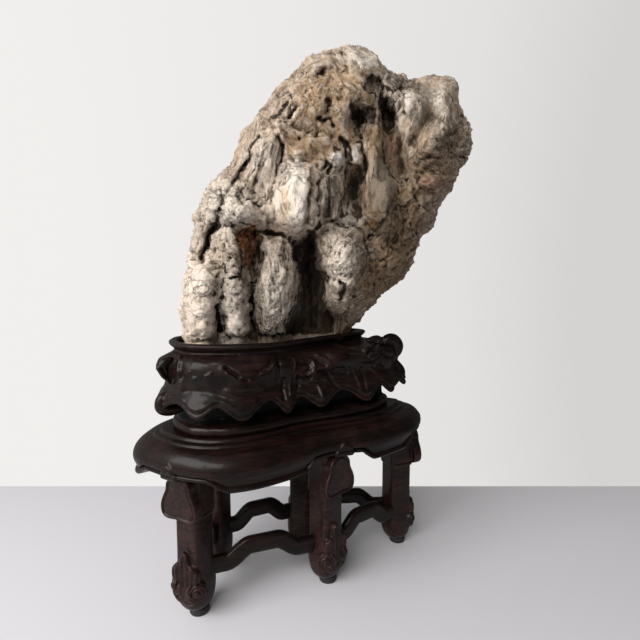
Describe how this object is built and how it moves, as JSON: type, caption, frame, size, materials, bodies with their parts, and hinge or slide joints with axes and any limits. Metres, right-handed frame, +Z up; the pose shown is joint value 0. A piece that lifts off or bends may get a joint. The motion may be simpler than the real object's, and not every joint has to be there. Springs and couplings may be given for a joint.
{
  "type": "scholar's rock on a carved table stand",
  "caption": "Leaning, deeply pitted limestone scholar's rock set in a leaf-carved hardwood base on a small long table with scroll-footed legs and wavy stretchers.",
  "frame": {"origin": "on the surface the feet stand on, under the middle of the whole object's bounding box", "axes": "+Z up; +X along the stand's length, towards the end that the stone leans over; -Y is the front"},
  "size_m": [0.3812, 0.1477, 0.5217],
  "materials": {
    "limestone": "matt, weathered, pitted",
    "dark_hardwood": "polished, very dark brown",
    "black_pad": "matt black"
  },
  "bodies": {
    "root": {"stone": "limestone", "carved_base": "dark_hardwood", "table_top": "dark_hardwood", "leg_front_left": "dark_hardwood", "leg_front_middle": "dark_hardwood", "leg_right_end": "dark_hardwood", "leg_back_middle": "dark_hardwood", "leg_back_left": "dark_hardwood", "foot_pad_front_left": "black_pad", "foot_pad_front_middle": "black_pad", "foot_pad_right_end": "black_pad", "foot_pad_back_middle": "black_pad", "foot_pad_back_left": "black_pad", "stretcher_front_left_to_front_middle": "dark_hardwood", "stretcher_front_middle_to_right_end": "dark_hardwood", "stretcher_back_middle_to_right_end": "dark_hardwood", "stretcher_back_left_to_back_middle": "dark_hardwood", "stretcher_front_left_to_back_left": "dark_hardwood"}
  },
  "joints": []
}
